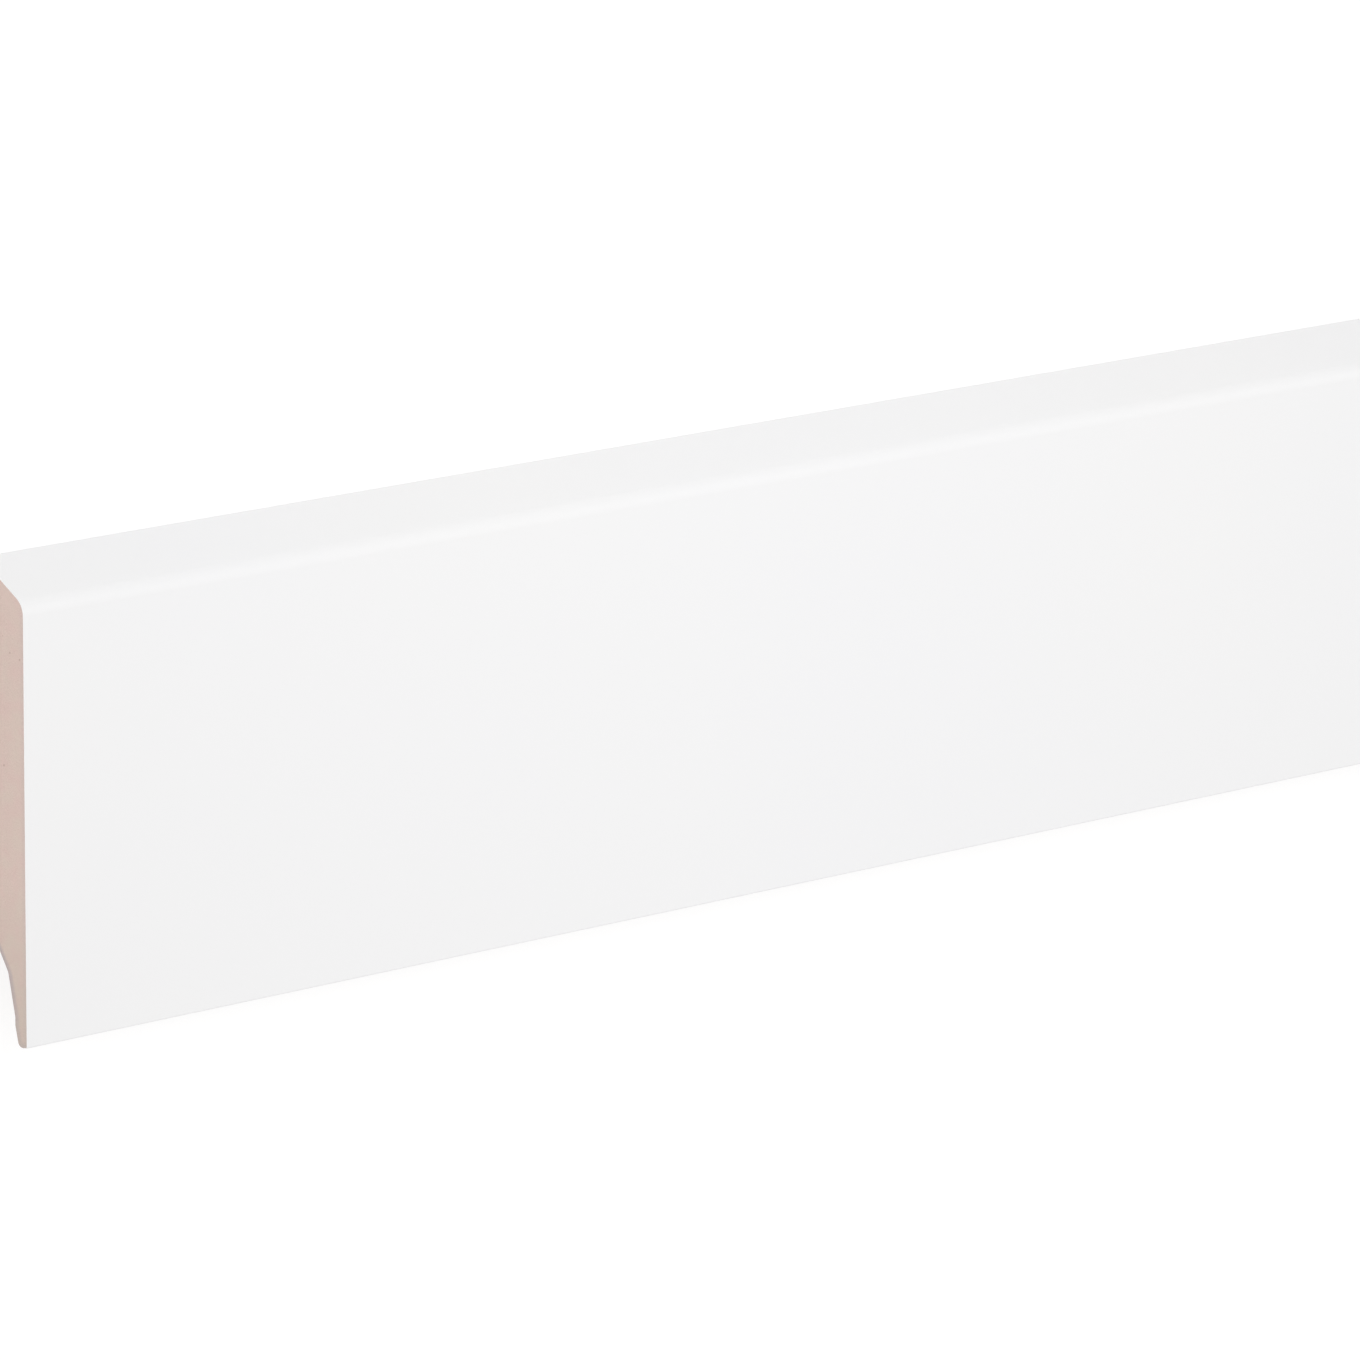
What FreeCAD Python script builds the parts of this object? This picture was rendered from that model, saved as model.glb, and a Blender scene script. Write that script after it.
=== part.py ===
import FreeCAD, Part
import math
import os
import Sketcher

# Skirting board length
#
# One length of machined skirting: a flat-fronted board with a slanted top, a rounded nose where
# the slant meets the front, and a long relief cut into the back at the foot. The relief leaves
# room for cables and for the edge of the flooring, and ends in a thin lip that meets the floor.
#
# The board lies on its back. X runs along its length and Y up its face, from the foot to the
# top edge. Z is zero at the back and grows towards the front face. The origin is in the middle
# of the board's length and height, on the surface that it lies on.

# Driving sizes
#
# Lengths are in millimetres and the angle is in degrees. Each size of the relief starts where
# the one before it ends, from the front face inwards and from the foot upwards.
SIZES = [
    ("board_length", 2400, "stock length"),
    ("board_height", 120, "foot to the top of the rounded back edge"),
    ("board_thickness", 16, "back to front face"),
    ("top_slope_angle", 32, "fall of the top towards the front, on a fixed board"),
    ("nose_radius", 5, "between the slanted top and the front face"),
    ("back_edge_radius", 0.3, "between the slanted top and the back"),
    ("toe_radius", 0.5, "front edge of the foot"),
    ("heel_radius", 1.6, "back edge of the foot"),
    ("foot_width", 3, "underside that meets the floor"),
    ("lip_flare_width", 1.3, "how much thicker the lip gets above the foot"),
    ("lip_flare_height", 5.2, "height over which the lip gets thicker"),
    ("lip_straight_height", 2.1, "height over which its thickness stays even"),
    ("relief_steep_width", 2.5, "depth of the steep flank"),
    ("relief_steep_height", 10.8, "height of the steep flank"),
    ("relief_shallow_height", 14.4, "height of the flatter flank, which runs out at the back"),
    ("relief_corner_radius", 3, "soft turns between the flanks"),
]

# How far an edge may lie from the place where it is looked for, and how far a volume may be off.
PLACE_TOLERANCE = 0.01
VOLUME_TOLERANCE = 1e-6


def make_sheet(doc):
    """Writes the driving sizes into the sheet that the sketches and features read."""
    sheet = doc.addObject("Spreadsheet::Sheet", "sizes")
    for row, (name, value, note) in enumerate(SIZES, start=1):
        sheet.set(f"A{row}", name)
        sheet.set(f"B{row}", str(value))
        sheet.set(f"C{row}", note)
        sheet.setAlias(f"B{row}", name)
    doc.recompute()
    return sheet


def stock_corners(sheet):
    """Works out the board's corners before the relief, as heights and distances from the back.

    The top edge is sharp here, and stands higher than the finished board by what its rounding
    will take off.
    """
    slope = math.radians(sheet.top_slope_angle)
    rounded_off = sheet.back_edge_radius * (math.tan(slope) + 1 / math.cos(slope) - 1)
    top_edge = sheet.board_height + rounded_off
    return {
        "back of foot": (0, 0),
        "toe": (0, sheet.board_thickness),
        "nose": (top_edge - sheet.board_thickness * math.tan(slope), sheet.board_thickness),
        "top edge": (top_edge, 0),
    }


def relief_corners(sheet):
    """Works out the corners of the relief, as heights and distances from the back."""
    heel = sheet.board_thickness - sheet.foot_width
    lip_back = heel - sheet.lip_flare_width
    lip_top = sheet.lip_flare_height + sheet.lip_straight_height
    knee = lip_top + sheet.relief_steep_height
    return {
        "back of foot": (0, 0),
        "heel": (0, heel),
        "end of flare": (sheet.lip_flare_height, lip_back),
        "top of lip": (lip_top, lip_back),
        "knee": (knee, lip_back - sheet.relief_steep_width),
        "run-out": (knee + sheet.relief_shallow_height, 0),
    }


def draw_outline(body, name, corners):
    """Draws a closed outline across the board, starting at the sketch's own origin.

    The sketch's X runs up the board's face and its Y runs from the back to the front. Line N
    starts at corner N, and the last line leads back to the first corner.
    """
    plane = [feature for feature in body.Origin.OriginFeatures if feature.Role == "YZ_Plane"][0]
    sketch = body.newObject("Sketcher::SketchObject", name)
    sketch.AttachmentSupport = [(plane, "")]
    sketch.MapMode = "FlatFace"
    points = [FreeCAD.Vector(up, out, 0) for up, out in corners.values()]
    for start, end in zip(points, points[1:] + points[:1]):
        sketch.addGeometry(Part.LineSegment(start, end), False)
    last_line = len(points) - 1
    for line in range(last_line):
        sketch.addConstraint(Sketcher.Constraint("Coincident", line, 2, line + 1, 1))
    sketch.addConstraint(Sketcher.Constraint("Coincident", last_line, 2, 0, 1))
    sketch.addConstraint(Sketcher.Constraint("Coincident", 0, 1, -1, 1))
    return sketch


def tie_size(sketch, direction, start, end, expression):
    """Sets how far one line end lies from another, as an expression of the sheet's sizes."""
    constraint = sketch.addConstraint(Sketcher.Constraint(direction, *start, *end, 1.0))
    sketch.setExpression(f"Constraints[{constraint}]", expression)


def draw_stock(body, sheet):
    """Draws the board before the relief is cut."""
    sketch = draw_outline(body, "stock_section", stock_corners(sheet))
    foot, front, top, back = range(4)
    sketch.addConstraint(Sketcher.Constraint("Vertical", foot))
    sketch.addConstraint(Sketcher.Constraint("Horizontal", front))
    sketch.addConstraint(Sketcher.Constraint("Horizontal", back))
    tie_size(sketch, "DistanceY", (foot, 1), (foot, 2), "sizes.board_thickness")
    slope = "sizes.top_slope_angle"
    rounded_off = f"sizes.back_edge_radius * (tan({slope}) + 1 / cos({slope}) - 1)"
    tie_size(sketch, "DistanceX", (back, 2), (back, 1), f"sizes.board_height + {rounded_off}")
    tie_size(sketch, "DistanceX", (top, 1), (top, 2), f"sizes.board_thickness * tan({slope})")
    return sketch


def draw_relief(body, sheet):
    """Draws what the relief takes away: behind the foot and the lip, and up the back."""
    sketch = draw_outline(body, "relief_section", relief_corners(sheet))
    foot, flare, straight, steep, shallow, back = range(6)
    sketch.addConstraint(Sketcher.Constraint("Vertical", foot))
    sketch.addConstraint(Sketcher.Constraint("Horizontal", straight))
    sketch.addConstraint(Sketcher.Constraint("Horizontal", back))
    tie_size(sketch, "DistanceY", (foot, 1), (foot, 2), "sizes.board_thickness - sizes.foot_width")
    tie_size(sketch, "DistanceY", (flare, 2), (flare, 1), "sizes.lip_flare_width")
    tie_size(sketch, "DistanceX", (flare, 1), (flare, 2), "sizes.lip_flare_height")
    tie_size(sketch, "DistanceX", (straight, 1), (straight, 2), "sizes.lip_straight_height")
    tie_size(sketch, "DistanceY", (steep, 2), (steep, 1), "sizes.relief_steep_width")
    tie_size(sketch, "DistanceX", (steep, 1), (steep, 2), "sizes.relief_steep_height")
    tie_size(sketch, "DistanceX", (shallow, 1), (shallow, 2), "sizes.relief_shallow_height")
    return sketch


def run_whole_length(feature, sketch):
    """Makes a feature run along the whole board, evenly to both sides of the sketch."""
    feature.Profile = sketch
    feature.SideType = "Symmetric"
    feature.setExpression("Length", "sizes.board_length")
    feature.Document.recompute()


def long_edge(shape, corner):
    """Finds the edge that runs along the board through one corner of its section."""
    for index, edge in enumerate(shape.Edges, start=1):
        start = edge.Vertexes[0].Point
        end = edge.Vertexes[-1].Point
        runs_along = abs(start.x - end.x) > PLACE_TOLERANCE
        offset = math.hypot(start.y - corner[0], start.z - corner[1])
        if runs_along and offset < PLACE_TOLERANCE:
            return f"Edge{index}"
    raise RuntimeError(f"no long edge at {corner}")


def round_edges(body, name, corners, size_name):
    """Rounds the long edges at the given corners with one radius from the sheet."""
    base = body.Tip
    rounding = body.newObject("PartDesign::Fillet", name)
    rounding.Base = (base, [long_edge(base.Shape, corner) for corner in corners])
    rounding.setExpression("Radius", f"sizes.{size_name}")
    body.Document.recompute()


def build_board(doc, sheet):
    """Makes the board: stock padded along X, relief cut through it, long edges rounded."""
    body = doc.addObject("PartDesign::Body", "skirting_board")
    body.Label = "skirting_board"
    body.setExpression("Placement.Base.y", "-sizes.board_height / 2")

    stock = body.newObject("PartDesign::Pad", "stock")
    run_whole_length(stock, draw_stock(body, sheet))

    relief = body.newObject("PartDesign::Pocket", "relief")
    relief_sketch = draw_relief(body, sheet)
    run_whole_length(relief, relief_sketch)
    wanted = Part.Face(relief_sketch.Shape.Wires[0]).Area * sheet.board_length
    removed = stock.Shape.Volume - relief.Shape.Volume
    if abs(removed - wanted) > VOLUME_TOLERANCE * wanted:
        raise RuntimeError(f"the relief took {removed:.0f} cubic mm and not {wanted:.0f}")

    outer = stock_corners(sheet)
    inner = relief_corners(sheet)
    round_edges(body, "nose", [outer["nose"]], "nose_radius")
    round_edges(body, "back_edge", [outer["top edge"]], "back_edge_radius")
    round_edges(body, "toe", [outer["toe"]], "toe_radius")
    round_edges(body, "heel", [inner["heel"]], "heel_radius")
    turns = [inner["end of flare"], inner["top of lip"], inner["knee"]]
    round_edges(body, "relief_turns", turns, "relief_corner_radius")
    return body


def check_document(doc):
    """Stops if any object of the document failed to compute."""
    for item in doc.Objects:
        if "Invalid" in item.State or "Error" in item.State:
            raise RuntimeError(f"{item.Name} failed: {item.State}")


def write_parts(bodies):
    """Checks each body's solid and writes it to a file of its own."""
    os.makedirs("parts", exist_ok=True)
    for body in bodies:
        shape = body.Shape
        if shape.isNull() or not shape.isValid() or len(shape.Solids) != 1:
            raise RuntimeError(f"{body.Label} isn't one valid solid")
        box = shape.BoundBox
        print(f"{body.Label}: X {box.XMin:.2f} to {box.XMax:.2f}, Y {box.YMin:.2f} to {box.YMax:.2f},",
              f"Z {box.ZMin:.2f} to {box.ZMax:.2f}, {shape.Volume / 1000:.1f} cubic cm")
        shape.exportStep(f"parts/{body.Label}.step")


def main():
    doc = FreeCAD.newDocument("skirting_board_length")
    sheet = make_sheet(doc)
    board = build_board(doc, sheet)
    doc.recompute()
    check_document(doc)
    write_parts([board])


main()
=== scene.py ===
# %% [markdown]
# This lesson dresses one length of skirting board. The real one is a single piece of fibreboard.
# A moulder has cut its section, and a thin white foil is glued over its top and its front. The
# back, the underside of the foot, the relief behind it and the two sawn ends stay raw.
# The solid model is loaded first. It isn't changed: it gives the box that every piece made here
# has to stay inside.

from math import cos, degrees, pi, radians, sin, tan

import bmesh
import bpy
from mathutils import Matrix, Vector


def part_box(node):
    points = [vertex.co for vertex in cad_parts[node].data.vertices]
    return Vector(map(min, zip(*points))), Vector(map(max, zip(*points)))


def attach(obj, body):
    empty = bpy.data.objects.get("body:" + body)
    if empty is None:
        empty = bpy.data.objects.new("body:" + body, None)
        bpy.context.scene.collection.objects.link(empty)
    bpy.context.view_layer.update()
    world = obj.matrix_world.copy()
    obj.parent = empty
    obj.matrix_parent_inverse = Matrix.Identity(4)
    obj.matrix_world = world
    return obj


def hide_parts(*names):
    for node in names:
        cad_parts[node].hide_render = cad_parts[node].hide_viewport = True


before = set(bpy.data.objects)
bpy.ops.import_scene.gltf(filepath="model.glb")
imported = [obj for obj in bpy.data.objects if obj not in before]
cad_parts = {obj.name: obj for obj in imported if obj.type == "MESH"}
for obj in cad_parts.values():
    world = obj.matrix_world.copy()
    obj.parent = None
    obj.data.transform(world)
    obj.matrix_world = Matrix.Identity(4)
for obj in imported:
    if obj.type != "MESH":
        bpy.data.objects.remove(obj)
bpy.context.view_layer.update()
board_low, board_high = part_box("skirting_board")
LENGTH, HEIGHT, THICKNESS = board_high - board_low
print(f"board {LENGTH:.3f} m long, {HEIGHT:.4f} m high and {THICKNESS:.4f} m thick")

# %% [markdown]
# The section is the board's only real shape, because a moulder cuts all of it in one pass. These
# are its sizes, the way a moulder's drawing gives them: heights are above the foot, and depths are
# behind the front face. The slanted top would meet the back in a sharp edge a little above the
# board's full height, and the small rounding there brings it down to that height.

# %% Sizes of the section
MM = 0.001
TOP_SLOPE = radians(32)
BACK_EDGE_RADIUS = 0.3 * MM
NOSE_RADIUS = 5 * MM
TOE_RADIUS = 0.5 * MM
HEEL_RADIUS = 1.6 * MM
TURN_RADIUS = 3 * MM
FOOT_WIDTH = 3 * MM
LIP_THICKNESS = 4.3 * MM
FLARE_HEIGHT = 5.2 * MM
LIP_HEIGHT = 7.3 * MM
KNEE_HEIGHT, KNEE_DEPTH = 18.1 * MM, 6.8 * MM
RELIEF_HEIGHT = 32.5 * MM
FOIL_THICKNESS = 0.12 * MM
LAP_ON_BACK = 6 * MM
LAP_UNDER_FOOT = 1 * MM

SHARP_TOP = HEIGHT + BACK_EDGE_RADIUS * (tan(TOP_SLOPE) + 1 / cos(TOP_SLOPE) - 1)
NOSE_HEIGHT = SHARP_TOP - THICKNESS * tan(TOP_SLOPE)
print(f"sharp nose {NOSE_HEIGHT / MM:.2f} mm above the foot")

# %% [markdown]
# The section is written as two runs of corners, one that the foil covers and one that stays raw.
# Each corner has a height, a depth and the radius of its rounding. The board lies on its back, so
# height runs along Y and depth runs down along Z.
# The foil starts on the back, a little below the top edge. It runs over the nose and down the
# front, and ends just under the toe. The cut end shows no white line behind the lip, so the foil
# goes no further.

# %% Corners of the section
def corner(height, depth, radius=0.0):
    """A corner of the section where the board lies, with the radius that rounds it."""
    return Vector((0, board_low.y + height, board_high.z - depth)), radius


wrapped = [
    corner(HEIGHT - LAP_ON_BACK, THICKNESS),
    corner(SHARP_TOP, THICKNESS, BACK_EDGE_RADIUS),
    corner(NOSE_HEIGHT, 0, NOSE_RADIUS),
    corner(0, 0, TOE_RADIUS),
    corner(0, LAP_UNDER_FOOT),
]
raw = [
    corner(0, LAP_UNDER_FOOT),
    corner(0, FOOT_WIDTH, HEEL_RADIUS),
    corner(FLARE_HEIGHT, LIP_THICKNESS, TURN_RADIUS),
    corner(LIP_HEIGHT, LIP_THICKNESS, TURN_RADIUS),
    corner(KNEE_HEIGHT, KNEE_DEPTH, TURN_RADIUS),
    corner(RELIEF_HEIGHT, THICKNESS),
    corner(HEIGHT - LAP_ON_BACK, THICKNESS),
]
print(f"{len(wrapped)} corners under the foil and {len(raw)} raw ones")

# %% [markdown]
# Foil is put on by drawing it lengthways through rollers that fold it round the section. The mesh
# is made the same way: one edge as long as the board is drawn round the corners. A straight
# stretch is an extrude of that edge and a rounding is a spin of it, so the roundings are true arcs
# and every face runs the whole length. Extruding a drawn outline along the board would give the
# same faces, but not the open skin that the foil needs.
# A piece starts as a narrow strip that lies flat, so its section has to start along Y.

# %% Start a piece with one long edge
BLEND_STRIP = 0.15 * MM
SAME_PLACE = 0.01 * MM


def select_edges(piece, wanted):
    """In edit mode, selects only the edges that pass a test, and says how many there are."""
    bpy.ops.mesh.select_mode(type="EDGE")
    bpy.ops.mesh.select_all(action="DESELECT")
    mesh = bmesh.from_edit_mesh(piece.data)
    found = [edge for edge in mesh.edges if wanted(edge)]
    for edge in found:
        edge.select_set(True)
    bmesh.update_edit_mesh(piece.data)
    return len(found)


def lies_at(edge, place):
    """True for an edge that runs along the board through a place of its section."""
    return all((vertex.co - place).yz.length < SAME_PLACE for vertex in edge.verts)


def start_edge(name, start, way):
    """Adds a strip as long as the board, and leaves its far edge selected in edit mode."""
    bpy.ops.object.select_all(action="DESELECT")
    bpy.ops.mesh.primitive_plane_add(size=1, enter_editmode=True)
    piece = bpy.context.active_object
    piece.name = piece.data.name = name
    bpy.ops.transform.resize(value=(LENGTH, BLEND_STRIP, 1))
    bpy.ops.transform.translate(value=start + way * BLEND_STRIP / 2)
    select_edges(piece, lambda edge: lies_at(edge, start + way * BLEND_STRIP))
    return piece


print(f"a piece starts as a strip {BLEND_STRIP / MM:.2f} mm wide")

# %% [markdown]
# Smooth shading blends each face into the next, and on a wide flat front that blend would show as
# a false curve. So each straight stretch starts and ends with a narrow strip that takes up the
# blend. A very short stretch has no room for strips and needs none.
# A rounding is a spin about its own middle, in steps of a few degrees.

# %% Draw straight stretches and roundings
SHORTEST_WITH_STRIPS = 3 * BLEND_STRIP
STEPS_PER_TURN = 90
FEWEST_STEPS = 3


def draw_straight(start, end):
    """Extrudes the selected edge from one place to another, with a narrow strip at each end."""
    way = end - start
    stretches = [way.length]
    if way.length > SHORTEST_WITH_STRIPS:
        stretches = [BLEND_STRIP, way.length - 2 * BLEND_STRIP, BLEND_STRIP]
    for length in stretches:
        step = way.normalized() * length
        bpy.ops.mesh.extrude_region_move(TRANSFORM_OT_translate={"value": step})


def draw_rounding(before, at, after, radius):
    """Extrudes the selected edge up to a corner's rounding, spins it round and says where it is."""
    into, out = (at - before).normalized(), (after - at).normalized()
    turn = into.angle(out)
    reach = radius * tan(turn / 2)
    middle = at + (out - into).normalized() * radius / cos(turn / 2)
    draw_straight(before, at - into * reach)
    steps = max(FEWEST_STEPS, round(STEPS_PER_TURN * turn / (2 * pi)))
    bpy.ops.mesh.spin(steps=steps, angle=turn, center=middle, axis=out.cross(into))
    return at + out * reach


print(f"roundings turn about {360 / STEPS_PER_TURN:.0f} degrees a step")

# %% [markdown]
# A whole section is a chain of stretches and roundings. A corner without a radius stays sharp: the
# edge is drawn up to it and goes on from there. When the chain is done, shading by angle smooths
# the roundings and keeps the sawn edges crisp.

# %% Draw a whole section
SHARP_ANGLE = radians(20)


def draw_section(corners):
    """Draws the selected edge, which waits just past the first corner, to the last one."""
    way = (corners[1][0] - corners[0][0]).normalized()
    here = corners[0][0] + way * BLEND_STRIP
    for (at, radius), (after, _) in zip(corners[1:], corners[2:]):
        if radius:
            here = draw_rounding(here, at, after, radius)
        else:
            draw_straight(here, at)
            here = at
    draw_straight(here, corners[-1][0])


def smooth(piece):
    """Leaves edit mode and shades the piece smooth, apart from its sharp edges."""
    bpy.ops.object.mode_set(mode="OBJECT")
    bpy.ops.object.shade_smooth_by_angle(angle=SHARP_ANGLE)
    print(f"{piece.name}: {len(piece.data.polygons)} faces")


print(f"edges of more than {degrees(SHARP_ANGLE):.0f} degrees stay crisp")

# %% [markdown]
# The foil is a skin about an eighth of a millimetre thick. It is drawn as an open surface on the
# board's outside and then gets its thickness inwards from a Solidify modifier, so that the board
# keeps its size and the foil's cut edge shows at the ends as a thin white line round the brown
# board. A spun surface can end up facing inwards, so its faces are turned outwards before it gets
# thick. The widest face is the front, so it tells which way they point.

# %% The foil
WELD_DISTANCE = 0.001 * MM

foil_way = (wrapped[1][0] - wrapped[0][0]).normalized()
foil = start_edge("white_foil", wrapped[0][0], foil_way)
draw_section(wrapped)
bpy.ops.mesh.select_all(action="SELECT")
bpy.ops.mesh.remove_doubles(threshold=WELD_DISTANCE)
bpy.ops.mesh.normals_make_consistent(inside=False)
bpy.ops.object.mode_set(mode="OBJECT")
front = max(foil.data.polygons, key=lambda face: face.area)
if front.normal.z < 0:
    foil.data.flip_normals()

skin = foil.modifiers.new("thickness", "SOLIDIFY")
skin.thickness = FOIL_THICKNESS
skin.offset = -1
skin.use_even_offset = True
bpy.ops.object.modifier_apply(modifier=skin.name)
smooth(foil)

# %% [markdown]
# The core is the board inside the foil. Where the foil covers it, its surface lies one foil
# thickness further in, and where it is raw it lies on the board's own outline. A shrunk copy of the
# solid model would draw in the raw faces too, so the core is drawn like the foil. Every corner that
# is covered moves in along both of its faces, and its radius shrinks by the same amount.
# The edge is drawn all the way round, its ends are welded, and the two open ends are closed with
# one flat face each, as the saw leaves them.

# %% The core
def sink(corners, depth):
    """Moves an open run of outer corners into the board, keeping every rounding concentric."""
    places = [place for place, _ in corners]
    ways = [(b - a).normalized() for a, b in zip(places, places[1:])]
    inwards = [Vector((0, -way.z, way.y)) for way in ways]
    sunk = []
    for index, (place, radius) in enumerate(corners):
        one, other = inwards[max(index - 1, 0)], inwards[min(index, len(ways) - 1)]
        shift = (one + other) / (1 + one.dot(other))
        sunk.append((place + shift * depth, max(radius - depth, 0)))
    return sunk


core_corners = raw[-2:] + sink(wrapped, FOIL_THICKNESS) + raw[:-1]
core_way = (core_corners[1][0] - core_corners[0][0]).normalized()
core = start_edge("fibreboard_core", core_corners[0][0], core_way)
draw_section(core_corners)
bpy.ops.mesh.select_all(action="SELECT")
bpy.ops.mesh.remove_doubles(threshold=WELD_DISTANCE)
for end_x in (board_low.x, board_high.x):
    count = select_edges(core, lambda edge: all(abs(v.co.x - end_x) < MM for v in edge.verts))
    bpy.ops.mesh.edge_face_add()
    print(f"the end at {end_x:.1f} m has an outline of {count} edges")
bpy.ops.mesh.select_all(action="SELECT")
bpy.ops.mesh.normals_make_consistent(inside=False)
smooth(core)

# %% [markdown]
# Other programs show a finish as a picture that is laid over the piece, and the core gets its own
# layout for it. Its long faces will be unrolled round the section, like the label off a tin. For
# that it has to be known how far round each long edge lies. A sawn end is still one face that
# lists them all in order, so the steps between them are added up there.

# %% Measure round the section
FACING_ALONG = 0.9


def is_sawn(face):
    """True for a face of a sawn end, which looks along the board."""
    return abs(face.normal.x) > FACING_ALONG


def section_place(vertex):
    """Where a vertex lies in the section, as a key that two vertices of one long edge share."""
    return round(vertex.co.y / MM, 3), round(vertex.co.z / MM, 3)


def unrolled(piece):
    """How far round the section each place lies, from 0 to 1, in the order of a sawn end's edge."""
    sawn_end = next(face for face in piece.data.polygons if is_sawn(face))
    places = [section_place(piece.data.vertices[index]) for index in sawn_end.vertices]
    steps = [Vector(b) - Vector(a) for a, b in zip(places, places[1:] + places[:1])]
    around = sum(step.length for step in steps)
    shares, walked = {}, 0.0
    for place, step in zip(places, steps):
        shares[place] = walked / around
        walked += step.length
    print(f"{piece.name} is {around:.1f} mm round")
    return shares


around_section = unrolled(core)

# %% [markdown]
# An even layout of a board 2.4 m long would leave each sawn end only a few pixels. Here each end
# has a tall column to itself. The unrolled faces lie beside the two columns, and are squeezed along
# the board, because their streaks run that way.

# %% The core's texture map
END_COLUMN = 0.14
MAP_MARGIN = 0.008
HALF_ROUND = 0.5


def framed(share):
    """Keeps a share of the map's width or height clear of its edges."""
    return MAP_MARGIN + share * (1 - 2 * MAP_MARGIN)


core_map = core.data.uv_layers.new(name="OFBake")
for face in core.data.polygons:
    vertices = [core.data.vertices[index] for index in face.vertices]
    round_section = [around_section[section_place(vertex)] for vertex in vertices]
    crosses_start = max(round_section) - min(round_section) > HALF_ROUND
    for loop, vertex, share in zip(face.loop_indices, vertices, round_section):
        if is_sawn(face):
            column = END_COLUMN if face.normal.x > 0 else 0
            across = framed((board_high.z - vertex.co.z) / THICKNESS) * END_COLUMN + column
            upwards = (vertex.co.y - board_low.y) / HEIGHT
        else:
            along = (vertex.co.x - board_low.x) / LENGTH
            across = 2 * END_COLUMN + framed(along) * (1 - 2 * END_COLUMN)
            upwards = 1.0 if crosses_start and share < HALF_ROUND else share
        core_map.data[loop].uv = across, framed(upwards)
print("laid out", len(core_map.data), "corners")

# %% [markdown]
# Each sawn end is still one face with 132 corners. Every program has to cut such a face into
# triangles, and where three corners lie in one line, a careless cut leaves a triangle without any
# area. So the ends are cut here, with the method that looks for well-shaped triangles.

# %% Cut the sawn ends into triangles
bpy.ops.object.mode_set(mode="EDIT")
bpy.ops.mesh.select_mode(type="FACE")
bpy.ops.mesh.select_all(action="DESELECT")
core_mesh = bmesh.from_edit_mesh(core.data)
for face in core_mesh.faces:
    face.select_set(is_sawn(face))
bmesh.update_edit_mesh(core.data)
bpy.ops.mesh.quads_convert_to_tris(ngon_method="BEAUTY")
bpy.ops.object.mode_set(mode="OBJECT")
smallest = min(face.area for face in core.data.polygons) / MM ** 2
print(f"{core.name}: {len(core.data.polygons)} faces, the smallest {smallest:.1g} square mm")

# %% [markdown]
# Materials come next. A finish is a tree of nodes, and the same few jobs come back in each: a node
# is added with its values, and sockets are linked. An effect that more than one finish uses is a
# node group of its own, with named inputs and outputs.

# %% Helpers for nodes
def new_group(name, inputs, outputs):
    """Makes an empty shader node group with number sockets."""
    tree = bpy.data.node_groups.new(name, "ShaderNodeTree")
    for label, value in inputs.items():
        socket = tree.interface.new_socket(label, in_out="INPUT", socket_type="NodeSocketFloat")
        socket.default_value = value
    for label in outputs:
        tree.interface.new_socket(label, in_out="OUTPUT", socket_type="NodeSocketFloat")
    return tree, tree.nodes.new("NodeGroupInput"), tree.nodes.new("NodeGroupOutput")


def add(tree, kind, **settings):
    """Adds a node and sets its properties and its inputs; an input's name starts with a capital."""
    made = tree.nodes.new("ShaderNode" + kind)
    for name, value in settings.items():
        if name[0].isupper():
            made.inputs[name.replace("_", " ")].default_value = value
        else:
            setattr(made, name, value)
    return made


def link(tree, *pairs):
    """Links pairs of sockets, each given as an output and an input."""
    for source, target in pairs:
        tree.links.new(source, target)


print("the solid model brought", [material.name for material in bpy.data.materials])

# %% [markdown]
# The first group makes streaks that run along the board: rollers leave them in the foil, and
# cutters leave them in the milled fibreboard. They could be a stretched picture, but a noise on
# Object coordinates has no edge and no repeat, and it lies still on the board from any side. The
# noise is stretched along X.

# %% Group: streaks along the board
streaks, streaks_in, streaks_out = new_group(
    "long_streaks",
    {"Per Metre": 900, "Stretch": 60},
    ["Value"],
)
streak_place = add(streaks, "TexCoord")
split = add(streaks, "SeparateXYZ")
shorten = add(streaks, "Math", operation="DIVIDE")
join = add(streaks, "CombineXYZ")
noise = add(streaks, "TexNoise", Detail=3, Roughness=0.55)
link(
    streaks,
    (streak_place.outputs["Object"], split.inputs[0]),
    (split.outputs["X"], shorten.inputs[0]),
    (streaks_in.outputs["Stretch"], shorten.inputs[1]),
    (shorten.outputs[0], join.inputs["X"]),
    (split.outputs["Y"], join.inputs["Y"]),
    (split.outputs["Z"], join.inputs["Z"]),
    (join.outputs[0], noise.inputs["Vector"]),
    (streaks_in.outputs["Per Metre"], noise.inputs["Scale"]),
    (noise.outputs["Fac"], streaks_out.inputs["Value"]),
)
print(f"{streaks.name}: {len(streaks.nodes)} nodes")

# %% [markdown]
# Many nodes need one plain number beside what they are fed. And a noise rarely leaves the middle
# of its range, so it is spread out to the whole range with a Map Range node. That node also turns
# a place on the board into a share, and a share into a mask that fades.

# %% Helpers for numbers
def maths(tree, operation, second):
    """Adds a Math node with a number in its second input."""
    made = add(tree, "Math", operation=operation)
    made.inputs[1].default_value = second
    return made


def ramp(tree, start, end, low=0, high=1, curve="LINEAR"):
    """Adds a node that turns start into low and end into high, and stops at both."""
    return add(tree, "MapRange", interpolation_type=curve,
               From_Min=start, From_Max=end, To_Min=low, To_Max=high)


print("a ramp goes from 0 to 1 where it isn't told otherwise")

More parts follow.
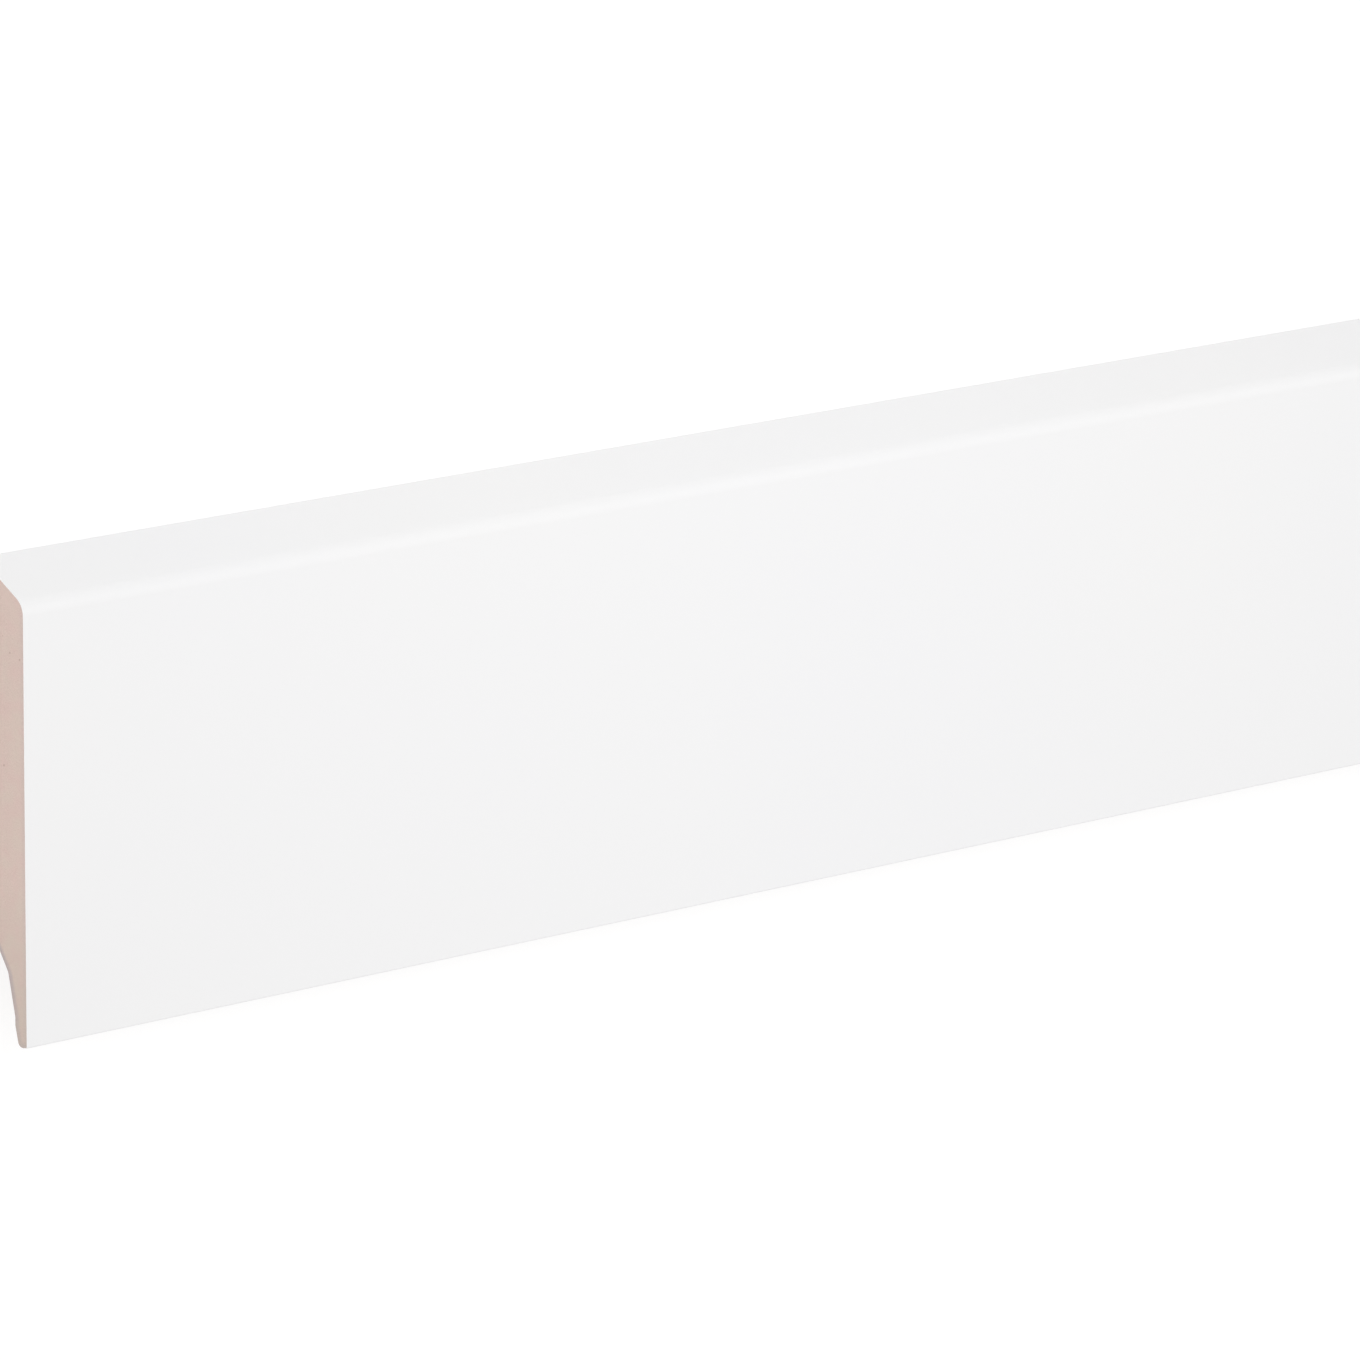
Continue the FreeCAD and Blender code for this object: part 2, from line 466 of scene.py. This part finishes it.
# %% [markdown]
# Fibreboard is made of short, fine wood fibres that are pressed flat. Close up it is an even tan
# with darker and paler flecks a fraction of a millimetre wide. The second group makes these from a
# fine noise and a web of threads, squeezed through the board's thickness as the press does it.
# Beside them it puts out a soft, broad mottling, because the resin never takes quite evenly, and a
# few small dark specks, which are bark. The sawn and the milled finish both use the group.

# %% Group: fibres
PRESSED_FLAT = (1, 1, 2.5)
THREAD_SHARE = 0.35
FLECK_RANGE = (0.45, 0.85)
MOTTLE_RANGE = (0.32, 0.68)
SPECKS_PER_METRE = 220
SPECK_RANGE = (0.08, 0.04)

fibres, fibres_in, fibres_out = new_group(
    "fibre_flecks",
    {"Flecks Per Metre": 2200, "Mottles Per Metre": 120},
    ["Flecks", "Mottles", "Specks"],
)
fibre_place = add(fibres, "TexCoord")
pressed_place = add(fibres, "Mapping", Scale=PRESSED_FLAT)
fine = add(fibres, "TexNoise", Detail=4, Roughness=0.65)
thread = add(fibres, "TexVoronoi", feature="DISTANCE_TO_EDGE", Randomness=1.0)
matted = maths(fibres, "MULTIPLY_ADD", THREAD_SHARE)
flecks = ramp(fibres, *FLECK_RANGE)
broad = add(fibres, "TexNoise", Detail=2, Roughness=0.5)
mottles = ramp(fibres, *MOTTLE_RANGE)
bark = add(fibres, "TexVoronoi", Scale=SPECKS_PER_METRE, Randomness=1.0)
specks = ramp(fibres, *SPECK_RANGE)
link(
    fibres,
    (fibre_place.outputs["Object"], pressed_place.inputs["Vector"]),
    (pressed_place.outputs[0], fine.inputs["Vector"]),
    (pressed_place.outputs[0], thread.inputs["Vector"]),
    (fibre_place.outputs["Object"], broad.inputs["Vector"]),
    (fibre_place.outputs["Object"], bark.inputs["Vector"]),
    (fibres_in.outputs["Flecks Per Metre"], fine.inputs["Scale"]),
    (fibres_in.outputs["Flecks Per Metre"], thread.inputs["Scale"]),
    (fibres_in.outputs["Mottles Per Metre"], broad.inputs["Scale"]),
    (thread.outputs["Distance"], matted.inputs[0]),
    (fine.outputs["Fac"], matted.inputs[2]),
    (matted.outputs[0], flecks.inputs["Value"]),
    (broad.outputs["Fac"], mottles.inputs["Value"]),
    (bark.outputs["Distance"], specks.inputs["Value"]),
    (flecks.outputs["Result"], fibres_out.inputs["Flecks"]),
    (mottles.outputs["Result"], fibres_out.inputs["Mottles"]),
    (specks.outputs["Result"], fibres_out.inputs["Specks"]),
)
print(f"{fibres.name}: {len(fibres.nodes)} nodes")

# %% [markdown]
# The three finishes are put together from the same few steps, so each step is a helper. A new
# material already has its shader. A group is placed with its own values. A mask mixes two colours.
# One Mix node can do numbers, vectors and colours, and it keeps a set of sockets for each, so its
# colours are found by number.

# %% Helpers for the finishes
MIX_LOW, MIX_HIGH, MIX_RESULT = 6, 7, 2


def new_material(name):
    """Makes a material, and hands back the material, its node tree and its shader."""
    made = bpy.data.materials.new(name)
    made.use_nodes = True
    return made, made.node_tree, made.node_tree.nodes["Principled BSDF"]


def use_group(tree, group, **values):
    """Places a node group in a material with its own values."""
    made = add(tree, "Group", node_tree=group)
    for name, value in values.items():
        made.inputs[name.replace("_", " ")].default_value = value
    return made


def mixed(tree, low, high, mask, blend_type="MIX"):
    """Goes from low to high as a mask goes from 0 to 1; low is a colour or a node's output."""
    made = add(tree, "Mix", data_type="RGBA", blend_type=blend_type)
    if isinstance(low, tuple):
        made.inputs[MIX_LOW].default_value = (*low, 1)
    else:
        link(tree, (low, made.inputs[MIX_LOW]))
    made.inputs[MIX_HIGH].default_value = (*high, 1)
    link(tree, (mask, made.inputs[0]))
    return made.outputs[MIX_RESULT]


def tinted(tree, colour, tint, mask):
    """Darkens a colour by a tint where a mask is 1."""
    return mixed(tree, colour, tint, mask, "MULTIPLY")


print("a Mix node takes its colours at sockets", MIX_LOW, "and", MIX_HIGH)

# %% [markdown]
# Every finish ends the same way. Its colour goes to the shader, a mask moves the roughness between
# two values, and a height raises the surface with a Bump node, by a real height in metres.

# %% End a finish
def finish(tree, shader, colour, roughness, gloss_mask, height, tallest):
    """Gives the shader its colour, a roughness that follows a mask, and a relief in metres."""
    sheen = ramp(tree, 0, 1, *roughness)
    raised = add(tree, "Bump", Strength=1.0, Distance=tallest)
    link(
        tree,
        (colour, shader.inputs["Base Color"]),
        (gloss_mask, sheen.inputs["Value"]),
        (sheen.outputs["Result"], shader.inputs["Roughness"]),
        (height, raised.inputs["Height"]),
        (raised.outputs[0], shader.inputs["Normal"]),
    )
    print(f"roughness {roughness[0]:.2f} to {roughness[1]:.2f}, relief {tallest / MM:.3f} mm")


print("ready to give a finish its colour, its roughness and its relief")

# %% [markdown]
# The foil is white, smooth and satin: it shows lamps as soft bright zones. Its colour is a plain
# white with a very faint drift towards a cooler one. Its gloss varies a little along the rollers'
# streaks, and a bump a few thousandths of a millimetre high gives the surface its slight life.

# %% Material: white foil
FOIL_COOLER = (0.872, 0.872, 0.886)
FOIL_WARMER = (0.892, 0.887, 0.879)
FOIL_IOR = 1.5
FOIL_ROUGHNESS = (0.44, 0.56)
FOIL_RELIEF = 0.004 * MM
DRIFTS_PER_METRE = 6
PEEL_PER_METRE = 1400
PEEL_SHARE = 0.5

foil_white, tree, shader = new_material("white_satin_foil")
shader.inputs["IOR"].default_value = FOIL_IOR
roller = use_group(tree, streaks, Per_Metre=700, Stretch=40)
foil_place = add(tree, "TexCoord")
drift = add(tree, "TexNoise", Scale=DRIFTS_PER_METRE, Detail=1)
peel = add(tree, "TexNoise", Scale=PEEL_PER_METRE, Detail=2)
foil_height = maths(tree, "MULTIPLY_ADD", PEEL_SHARE)
link(
    tree,
    (foil_place.outputs["Object"], drift.inputs["Vector"]),
    (foil_place.outputs["Object"], peel.inputs["Vector"]),
    (peel.outputs["Fac"], foil_height.inputs[0]),
    (roller.outputs["Value"], foil_height.inputs[2]),
)
foil_colour = mixed(tree, FOIL_COOLER, FOIL_WARMER, drift.outputs["Fac"])
finish(tree, shader, foil_colour, FOIL_ROUGHNESS, roller.outputs["Value"],
       foil_height.outputs[0], FOIL_RELIEF)
foil.data.materials.append(foil_white)
print(f"{foil_white.name}: {len(tree.nodes)} nodes")

# %% [markdown]
# The ends are sawn. The fibreboard there is a pale pinkish tan that drifts towards a yellower one
# from patch to patch, with fine flecks and a few specks of bark. A narrow greyish rim, darker than
# the rest of the end, follows the milled back and relief.
# The rim needs the distance to the milled outline. A curve node gives it: at each share of the
# height it says how far behind the front the milled surface lies, as a share of the thickness. Near
# the foot the underside is nearer, so the smaller of the two distances counts.

# %% Sawn fibreboard: how far inside the milled outline
sawn, tree, shader = new_material("sawn_fibreboard")
sawn_place = add(tree, "TexCoord")
section_axes = add(tree, "SeparateXYZ")
height_share = ramp(tree, board_low.y, board_high.y)
depth_share = ramp(tree, board_high.z, board_low.z)
milled_line = add(tree, "FloatCurve")
behind = add(tree, "Math", operation="SUBTRACT")
above = maths(tree, "MULTIPLY", HEIGHT / THICKNESS)
inside = add(tree, "Math", operation="MINIMUM")
link(
    tree,
    (sawn_place.outputs["Object"], section_axes.inputs[0]),
    (section_axes.outputs["Y"], height_share.inputs["Value"]),
    (section_axes.outputs["Z"], depth_share.inputs["Value"]),
    (height_share.outputs["Result"], milled_line.inputs["Value"]),
    (milled_line.outputs["Value"], behind.inputs[0]),
    (depth_share.outputs["Result"], behind.inputs[1]),
    (height_share.outputs["Result"], above.inputs[0]),
    (behind.outputs[0], inside.inputs[0]),
    (above.outputs[0], inside.inputs[1]),
)

milled_corners = raw[1:-1] + [corner(HEIGHT, THICKNESS)]
line_places = [((at.y - board_low.y) / HEIGHT, (board_high.z - at.z) / THICKNESS)
               for at, _ in milled_corners]
curve = milled_line.mapping.curves[0]
curve.points[0].location, curve.points[1].location = line_places[0], line_places[-1]
for line_place in line_places[1:-1]:
    curve.points.new(*line_place)
for point in curve.points:
    point.handle_type = "VECTOR"
milled_line.mapping.update()
print("milled outline:", [(round(up, 3), round(back, 3)) for up, back in line_places])

# %% [markdown]
# With that distance the rim is a soft band that fades inwards, and it is fainter at the foot. The
# layer behind the front face is a little denser and darker too, because the press packs the outside
# of a fibreboard hardest. Where the two meet, the stronger one counts. Apart from them, the end
# darkens evenly towards the thin lip.

# %% Sawn fibreboard: where it is darker
RIM_EDGE = (0.035, 0.12)
RIM_GROWTH = (0.02, 0.12)
RIM_AT_FOOT = 0.55
DENSE_LAYER = (0.03, 0.12)
DENSE_SHARE = 0.25
LIP_FADE = (0.02, 0.34)

# The rim is only a darker greyish band along the milled outline, fainter at the foot.
rim = ramp(tree, *RIM_EDGE, low=1, high=0, curve="SMOOTHSTEP")
rim_grows = ramp(tree, *RIM_GROWTH, low=RIM_AT_FOOT)
outline_rim = add(tree, "Math", operation="MULTIPLY")
dense_front = ramp(tree, *DENSE_LAYER, low=DENSE_SHARE, high=0, curve="SMOOTHSTEP")
pressed = add(tree, "Math", operation="MAXIMUM")
lip = ramp(tree, *LIP_FADE, low=1, high=0)
link(
    tree,
    (inside.outputs[0], rim.inputs["Value"]),
    (height_share.outputs["Result"], rim_grows.inputs["Value"]),
    (rim.outputs["Result"], outline_rim.inputs[0]),
    (rim_grows.outputs["Result"], outline_rim.inputs[1]),
    (depth_share.outputs["Result"], dense_front.inputs["Value"]),
    (outline_rim.outputs[0], pressed.inputs[0]),
    (dense_front.outputs["Result"], pressed.inputs[1]),
    (height_share.outputs["Result"], lip.inputs["Value"]),
)
print(f"the rim fades out {RIM_EDGE[1] * THICKNESS / MM:.1f} mm inside the milled outline")

# %% [markdown]
# The saw's teeth leave faint arcs about a millimetre apart. They are rings round the place where
# the blade's axle would be, off the board: the distance from it goes into a sine. Saw marks and
# fibres share one height, so that one Bump node raises both.

# %% Sawn fibreboard: fibres and saw marks
BLADE_AXLE = Vector((0.0, -0.05, -0.14))
ACROSS_THE_BOARD = (0, 1, 1)
TOOTH_MARKS_PER_METRE = 900
TOOTH_MARK_SHARE = 0.12

fibre = use_group(tree, fibres, Flecks_Per_Metre=2600, Mottles_Per_Metre=190)
from_axle = add(tree, "Mapping", Location=-BLADE_AXLE)
in_section = add(tree, "VectorMath", operation="MULTIPLY")
in_section.inputs[1].default_value = ACROSS_THE_BOARD
axle_distance = add(tree, "VectorMath", operation="LENGTH")
rings = maths(tree, "MULTIPLY", TOOTH_MARKS_PER_METRE * 2 * pi)
tooth_wave = add(tree, "Math", operation="SINE")
sawn_height = maths(tree, "MULTIPLY_ADD", TOOTH_MARK_SHARE)
link(
    tree,
    (sawn_place.outputs["Object"], from_axle.inputs["Vector"]),
    (from_axle.outputs[0], in_section.inputs[0]),
    (in_section.outputs[0], axle_distance.inputs[0]),
    (axle_distance.outputs["Value"], rings.inputs[0]),
    (rings.outputs[0], tooth_wave.inputs[0]),
    (tooth_wave.outputs[0], sawn_height.inputs[0]),
    (fibre.outputs["Flecks"], sawn_height.inputs[2]),
)
print(f"saw marks {1000 / TOOTH_MARKS_PER_METRE:.1f} mm apart")

# %% [markdown]
# The colour is built up in layers, from the patches through the flecks, the lip and the rim to the
# specks of bark. Each layer takes the colour before it and a mask.

# %% Sawn fibreboard: its colour
SAWN_YELLOWER = (0.688, 0.569, 0.500)
SAWN_PINKER = (0.701, 0.538, 0.490)
SAWN_FLECK = (0.545, 0.420, 0.365)
FLECK_STRENGTH = 0.75
LIP_TINT = (0.893, 0.930, 0.904)
RIM_TINT = (0.79, 0.83, 0.92)
BARK_TINT = (0.78, 0.75, 0.72)
FIBREBOARD_IOR = 1.45
SAWN_ROUGHNESS = (0.80, 0.95)
SAWN_RELIEF = 0.05 * MM

shader.inputs["IOR"].default_value = FIBREBOARD_IOR
fleck_share = maths(tree, "MULTIPLY", FLECK_STRENGTH)
link(tree, (fibre.outputs["Flecks"], fleck_share.inputs[0]))
patches = mixed(tree, SAWN_YELLOWER, SAWN_PINKER, fibre.outputs["Mottles"])
flecked = mixed(tree, patches, SAWN_FLECK, fleck_share.outputs[0])
towards_lip = tinted(tree, flecked, LIP_TINT, lip.outputs["Result"])
rimmed = tinted(tree, towards_lip, RIM_TINT, pressed.outputs[0])
speckled = tinted(tree, rimmed, BARK_TINT, fibre.outputs["Specks"])
finish(tree, shader, speckled, SAWN_ROUGHNESS, fibre.outputs["Flecks"],
       sawn_height.outputs[0], SAWN_RELIEF)
print(f"{sawn.name}: {len(tree.nodes)} nodes")

# %% [markdown]
# The back and the relief are milled and sanded, not sawn. The cutters press the fibres down, so
# the surface is smoother, a little darker, and carries faint streaks along the board. The same two
# groups make it, with other values. Then each face of the core takes the finish of its own cut.

# %% Material: milled fibreboard
MILLED_TAN = (0.600, 0.472, 0.412)
MILLED_DARK = (0.470, 0.350, 0.290)
MILLED_PATCH_TINT = (0.95, 0.93, 0.91)
MILLED_ROUGHNESS = (0.62, 0.85)
MILLED_RELIEF = 0.02 * MM
CUTTER_SHARE = 0.6

milled, tree, shader = new_material("milled_fibreboard")
shader.inputs["IOR"].default_value = FIBREBOARD_IOR
fibre = use_group(tree, fibres, Flecks_Per_Metre=1800, Mottles_Per_Metre=40)
cutter = use_group(tree, streaks, Per_Metre=1500, Stretch=120)
streaked = add(tree, "Math", operation="MULTIPLY")
milled_height = maths(tree, "MULTIPLY_ADD", CUTTER_SHARE)
link(
    tree,
    (fibre.outputs["Flecks"], streaked.inputs[0]),
    (cutter.outputs["Value"], streaked.inputs[1]),
    (cutter.outputs["Value"], milled_height.inputs[0]),
    (fibre.outputs["Flecks"], milled_height.inputs[2]),
)
streaky = mixed(tree, MILLED_TAN, MILLED_DARK, streaked.outputs[0])
patchy = tinted(tree, streaky, MILLED_PATCH_TINT, fibre.outputs["Mottles"])
speckled = tinted(tree, patchy, BARK_TINT, fibre.outputs["Specks"])
finish(tree, shader, speckled, MILLED_ROUGHNESS, fibre.outputs["Mottles"],
       milled_height.outputs[0], MILLED_RELIEF)

core.data.materials.append(milled)
core.data.materials.append(sawn)
for face in core.data.polygons:
    face.material_index = 1 if is_sawn(face) else 0
print("sawn faces:", sum(face.material_index for face in core.data.polygons))

# %% [markdown]
# Both pieces stand for the one solid of the board, so they replace it and ride on the only body
# there is.

# %% Tie the pieces to the model
for piece in (foil, core):
    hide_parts("skirting_board")
    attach(piece, "root")
    print(piece.name, "stands for skirting_board")

# %% [markdown]
# The board lies on a white floor under a white sky, so that its colours come out as they are
# written. The camera sees both as plain white, and so do reflections. A floor and a sky that really
# were so bright would make the board too bright. So the light that they throw and the white that
# they show are two things, and a mask says which one counts.

# %% What the camera sees
WHITE = (1, 1, 1, 1)


def seen_directly(tree):
    """A mask that is 1 for what the camera sees, also in a reflection or through glass."""
    path = add(tree, "LightPath")
    first = add(tree, "Math", operation="MAXIMUM")
    second = add(tree, "Math", operation="MAXIMUM")
    link(
        tree,
        (path.outputs["Is Camera Ray"], first.inputs[0]),
        (path.outputs["Is Glossy Ray"], first.inputs[1]),
        (first.outputs[0], second.inputs[0]),
        (path.outputs["Is Transmission Ray"], second.inputs[1]),
    )
    return second.outputs[0]


def show(tree, real, seen, output):
    """Lets the real surface or sky give its light, and shows another one to the camera."""
    chosen = add(tree, "MixShader")
    link(
        tree,
        (seen_directly(tree), chosen.inputs[0]),
        (real.outputs[0], chosen.inputs[1]),
        (seen.outputs[0], chosen.inputs[2]),
        (chosen.outputs[0], tree.nodes[output].inputs["Surface"]),
    )


print("the camera sees", WHITE[:3], "round the board")

# %% [markdown]
# The floor is a plane far larger than the view. What it shows is mostly a white glow, mixed with a
# share of the real, lit floor, and that share carries the board's soft shadow. The lit share is
# darker than white, so the glow is a little stronger than white to make up for it.

# %% The floor
FLOOR_SIZE = 400
FLOOR_GAP = 0.05 * MM
FLOOR_COLOUR = (0.88, 0.88, 0.88, 1)
SHADOW_SHARE = 0.30
FLOOR_GLOW = 1.15

bpy.ops.mesh.primitive_plane_add(size=FLOOR_SIZE, location=(0, 0, board_low.z - FLOOR_GAP))
floor = bpy.context.active_object
floor.name = "floor"
floor_white, tree, shader = new_material("floor_white")
tree.nodes.remove(shader)
lit = add(tree, "BsdfDiffuse", Color=FLOOR_COLOUR)
glow = add(tree, "Emission", Color=WHITE, Strength=FLOOR_GLOW)
shaded_white = add(tree, "MixShader", Fac=1 - SHADOW_SHARE)
link(tree, (lit.outputs[0], shaded_white.inputs[1]), (glow.outputs[0], shaded_white.inputs[2]))
show(tree, lit, shaded_white, "Material Output")
floor.data.materials.append(floor_white)
print(f"floor {FLOOR_SIZE} m wide, {FLOOR_GAP / MM:.2f} mm below the board")

# %% [markdown]
# The sky lights the board evenly from all sides, so its real strength sets how bright everything
# is. The lamps add their share later, so it stays below the 1 of a white sky.

# %% The sky
SKY_LIGHT = 0.730

world = bpy.data.worlds.new("white_sky")
bpy.context.scene.world = world
world.use_nodes = True
tree = world.node_tree
sky = tree.nodes["Background"]
sky.inputs["Color"].default_value = WHITE
sky.inputs["Strength"].default_value = SKY_LIGHT
plain_white = add(tree, "Background", Color=WHITE, Strength=1.0)
show(tree, sky, plain_white, "World Output")
print(f"sky of strength {SKY_LIGHT:.2f}")

# %% [markdown]
# The camera looks at the left end of the board from the side of its front, a little from above its
# top edge. The lens is long and far away, so the long edges hardly converge.

# %% Camera
LOOK_AT = Vector((board_low.x + 0.22052, 0.00043, board_high.z))
CAMERA_SIDE = radians(43.95)
CAMERA_RISE = radians(11.83)
CAMERA_DISTANCE = 2.803
CAMERA_ROLL = radians(0.21)
LENS = 289.6
SENSOR_WIDTH = 36
FARTHEST_SEEN = 1000

level = cos(CAMERA_RISE)
to_camera = Vector((-sin(CAMERA_SIDE) * level, sin(CAMERA_RISE), cos(CAMERA_SIDE) * level))
right = (-to_camera).cross(Vector((0, 1, 0))).normalized()
up = right.cross(-to_camera)
turned_right = right * cos(CAMERA_ROLL) + up * sin(CAMERA_ROLL)
turned_up = up * cos(CAMERA_ROLL) - right * sin(CAMERA_ROLL)
camera_data = bpy.data.cameras.new("camera")
camera_data.lens = LENS
camera_data.sensor_width = SENSOR_WIDTH
camera_data.clip_end = FARTHEST_SEEN
camera = bpy.data.objects.new("camera", camera_data)
bpy.context.collection.objects.link(camera)
camera.matrix_world = Matrix.Translation(LOOK_AT + to_camera * CAMERA_DISTANCE) @ Matrix(
    (turned_right, turned_up, to_camera)).transposed().to_4x4()
bpy.context.scene.camera = camera
bpy.context.scene.view_settings.view_transform = "Standard"
print("camera at", [round(value, 3) for value in camera.location])

# %% [markdown]
# The sky gives about two thirds of the light, and soft lamps give the rest. A lamp is a flat
# rectangle that the camera doesn't see. It is given by the light that it throws on a face turned to
# it, on a scale on which a white sky throws 1, so that near and far lamps can be compared.
# Such a lamp of P watts throws P / (pi x distance squared), and a white sky throws pi, so its power
# is its light times pi squared times the distance squared.

# %% A soft lamp
def soft_lamp(name, lit, toward, distance, light, size, length=None):
    """Adds a lamp that the camera doesn't see, and points it at the place it lights."""
    data = bpy.data.lights.new(name, "AREA")
    data.shape = "RECTANGLE"
    data.size, data.size_y = length or size, size
    data.energy = pi ** 2 * distance ** 2 * light
    lamp = bpy.data.objects.new(name, data)
    bpy.context.collection.objects.link(lamp)
    away = Vector(toward).normalized()
    lamp.location = lit + away * distance
    lamp.rotation_mode = "QUATERNION"
    lamp.rotation_quaternion = away.to_track_quat("Z", "Y")
    lamp.visible_camera = False
    print(name, "at", [round(value, 2) for value in lamp.location])


print(f"a lamp that throws 1 from a metre away has {pi ** 2:.2f} watts")

# %% [markdown]
# Three lamps are near. The first hangs over the front by the cut end, and makes the front palest
# under it. A long one lights the rest of the board, and a small one the slanted top at the cut end.
# Four are far away. One stands where the rounded nose mirrors it to the camera, so the nose shows
# as a soft bright line. One lights the toe from the foot's side, and one each sawn end.

# %% The lamps
NEAR_ALONG, LONG_ALONG = 0.25, 1.7
OVER_FRONT = (0, 0.42, 0.90)
OVER_TOP = (-0.25, 0.85, 0.45)
BELOW_TOE = (0, -0.9, 0.43)
OFF_LEFT_END, OFF_RIGHT_END = (-0.93, 0.1, 0.35), (0.93, 0.1, 0.35)
NOSE_LEAN = radians(17)

cut_end = Vector((board_low.x, board_low.y + HEIGHT / 2, board_high.z))
far_end = Vector((board_high.x, board_low.y + HEIGHT / 2, board_high.z))
middle = (cut_end + far_end) / 2
near_place = cut_end + Vector((NEAR_ALONG, 0, 0))
long_place = cut_end + Vector((LONG_ALONG, 0, 0))
nose_faces = Vector((0, sin(NOSE_LEAN), cos(NOSE_LEAN)))
mirrored = 2 * nose_faces.dot(to_camera) * nose_faces - to_camera
soft_lamp("near_lamp", near_place, OVER_FRONT, distance=0.6, light=0.162, size=0.35)
soft_lamp("long_lamp", long_place, OVER_FRONT, distance=0.8, light=0.17, size=0.4, length=1.0)
soft_lamp("top_lamp", cut_end, OVER_TOP, distance=0.6, light=0.016, size=0.35)
soft_lamp("nose_lamp", cut_end, mirrored, distance=9, light=0.02, size=5)
soft_lamp("toe_lamp", middle, BELOW_TOE, distance=6, light=0.03, size=2.5)
soft_lamp("left_lamp", cut_end, OFF_LEFT_END, distance=6, light=0.258, size=2.5)
soft_lamp("right_lamp", far_end, OFF_RIGHT_END, distance=6, light=0.30, size=2.5)
